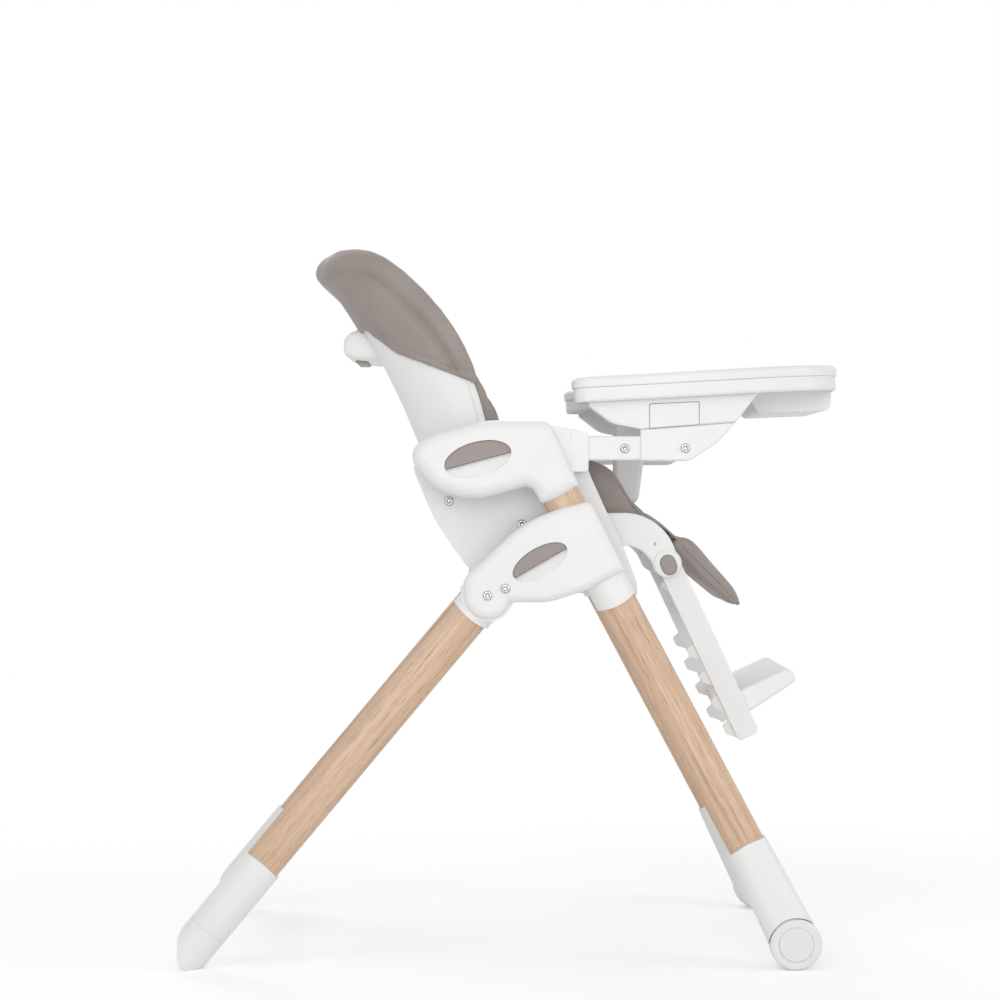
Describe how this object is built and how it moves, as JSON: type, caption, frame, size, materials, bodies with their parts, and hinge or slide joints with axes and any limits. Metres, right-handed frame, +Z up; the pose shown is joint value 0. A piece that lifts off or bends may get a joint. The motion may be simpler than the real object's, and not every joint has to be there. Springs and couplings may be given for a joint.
{
  "type": "baby high chair",
  "caption": "Folding A-frame baby high chair with wood-look legs, height-adjustable padded reclining seat, sliding removable tray and adjustable footrest.",
  "frame": {"origin": "on the floor under the middle of the chair", "axes": "+X forward, the way the child faces, +Y to the chair's left, +Z up"},
  "size_m": [0.8696, 0.5952, 0.9539],
  "materials": {
    "white_plastic": "smooth satin white moulding",
    "wood": "oak-look grain, matt lacquer",
    "taupe_plastic": "fine matt taupe",
    "leatherette": "soft taupe leatherette",
    "steel": "polished screw heads",
    "wheel_plastic": "white wheel"
  },
  "bodies": {
    "frame": {"front_leg_right": "wood", "front_leg_left": "wood", "leg_collars": "white_plastic", "hub_outer_right": "white_plastic", "hub_outer_left": "white_plastic", "hub_inner_covers": "white_plastic", "fold_pivot_bolts": "steel", "hub_screws": "steel", "front_foot_right": "white_plastic", "front_foot_left": "white_plastic", "wheel_axles": "steel", "front_crossbar": "white_plastic"},
    "front_wheel_right": {"wheel_right": "wheel_plastic", "wheel_cap_right": "wheel_plastic"},
    "front_wheel_left": {"wheel_left": "wheel_plastic", "wheel_cap_left": "wheel_plastic"},
    "rear_frame": {"rear_leg_right": "wood", "rear_leg_left": "wood", "rear_knuckle_right": "white_plastic", "rear_knuckle_left": "white_plastic", "rear_foot_right": "white_plastic", "rear_foot_left": "white_plastic", "rear_foot_tips": "white_plastic", "rear_crossbar": "white_plastic"},
    "fold_release_right": {"fold_button_right": "taupe_plastic"},
    "fold_release_left": {"fold_button_left": "taupe_plastic"},
    "seat": {"seat_shell": "white_plastic", "armrest_right": "white_plastic", "armrest_left": "white_plastic", "arm_sockets": "white_plastic", "seat_screws": "steel", "recline_pins": "steel", "footrest_brackets": "white_plastic", "footrest_pins": "steel", "seat_pad": "leatherette"},
    "height_release_right": {"height_button_right": "taupe_plastic"},
    "height_release_left": {"height_button_left": "taupe_plastic"},
    "footrest_release_right": {"footrest_button_right": "taupe_plastic"},
    "footrest_release_left": {"footrest_button_left": "taupe_plastic"},
    "backrest": {"backrest_shell": "white_plastic", "back_pad": "leatherette", "headrest_cover": "leatherette", "recline_handle": "white_plastic"},
    "recline_release": {"recline_lever": "taupe_plastic"},
    "tray": {"tray_base": "white_plastic", "tray_arms": "white_plastic", "tray_brackets": "white_plastic", "tray_screws": "steel", "crotch_post": "white_plastic"},
    "tray_release_right": {"tray_lever_right": "white_plastic"},
    "tray_release_left": {"tray_lever_left": "white_plastic"},
    "tray_cover": {"tray_top": "white_plastic"},
    "footrest": {"footrest_frame": "white_plastic"},
    "foot_board": {"footplate": "white_plastic"},
    "calf_support": {"calf_flap": "leatherette"}
  },
  "joints": [
    {"name": "wheel_right_spin", "type": "hinge", "parent": "frame", "child": "front_wheel_right", "pos_m": [0.36479, -0.271, 0.0335], "axis": [0, 1, 0], "continuous": true},
    {"name": "wheel_left_spin", "type": "hinge", "parent": "frame", "child": "front_wheel_left", "pos_m": [0.36479, 0.271, 0.0335], "axis": [0, 1, 0], "continuous": true},
    {"name": "rear_leg_fold", "type": "hinge", "parent": "frame", "child": "rear_frame", "pos_m": [-0.0341, 0, 0.4849], "axis": [0, -1, 0], "range_deg": [0, 60]},
    {"name": "fold_button_right_push", "type": "slide", "parent": "frame", "child": "fold_release_right", "axis": [0, 1, 0], "range_m": [0, 0.004], "stiffness_N_per_m": 200},
    {"name": "fold_button_left_push", "type": "slide", "parent": "frame", "child": "fold_release_left", "axis": [0, -1, 0], "range_m": [0, 0.004], "stiffness_N_per_m": 200},
    {"name": "seat_height", "type": "slide", "parent": "frame", "child": "seat", "axis": [-0.4695, 0, 0.8829], "range_m": [-0.01, 0.055]},
    {"name": "height_button_right_push", "type": "slide", "parent": "seat", "child": "height_release_right", "axis": [0, 1, 0], "range_m": [0, 0.004], "stiffness_N_per_m": 200},
    {"name": "height_button_left_push", "type": "slide", "parent": "seat", "child": "height_release_left", "axis": [0, -1, 0], "range_m": [0, 0.004], "stiffness_N_per_m": 200},
    {"name": "back_recline", "type": "hinge", "parent": "seat", "child": "backrest", "pos_m": [-0.0855, 0, 0.6064], "axis": [0, -1, 0], "range_deg": [-12, 25]},
    {"name": "recline_lever_squeeze", "type": "slide", "parent": "backrest", "child": "recline_release", "axis": [0, 0, 1], "range_m": [0, 0.004], "stiffness_N_per_m": 200},
    {"name": "tray_slide", "type": "slide", "parent": "seat", "child": "tray", "axis": [1, 0, 0], "range_m": [-0.04, 0.05]},
    {"name": "tray_lever_right_push", "type": "slide", "parent": "tray", "child": "tray_release_right", "axis": [0, 1, 0], "range_m": [0, 0.004], "stiffness_N_per_m": 200},
    {"name": "tray_lever_left_push", "type": "slide", "parent": "tray", "child": "tray_release_left", "axis": [0, -1, 0], "range_m": [0, 0.004], "stiffness_N_per_m": 200},
    {"name": "tray_top_lift", "type": "slide", "parent": "tray", "child": "tray_cover", "axis": [-0.055, 0, 0.9985], "range_m": [0, 0.06]},
    {"name": "footrest_fold", "type": "hinge", "parent": "seat", "child": "footrest", "pos_m": [0.2053, 0, 0.5234], "axis": [0, -1, 0], "range_deg": [0, 45]},
    {"name": "footrest_button_right_push", "type": "slide", "parent": "seat", "child": "footrest_release_right", "axis": [0, 1, 0], "range_m": [0, 0.0025], "stiffness_N_per_m": 200},
    {"name": "footrest_button_left_push", "type": "slide", "parent": "seat", "child": "footrest_release_left", "axis": [0, -1, 0], "range_m": [0, 0.0025], "stiffness_N_per_m": 200},
    {"name": "footplate_step", "type": "slide", "parent": "footrest", "child": "foot_board", "axis": [-0.4226, 0, 0.9063], "range_m": [-0.038, 0.038]},
    {"name": "calf_flap_fold", "type": "hinge", "parent": "seat", "child": "calf_support", "pos_m": [0.222, 0, 0.548], "axis": [0, -1, 0], "range_deg": [0, 29.25]}
  ],
  "couplings": [
    {"joint": "calf_flap_fold", "follows": "footrest_fold", "ratio": 0.65}
  ]
}
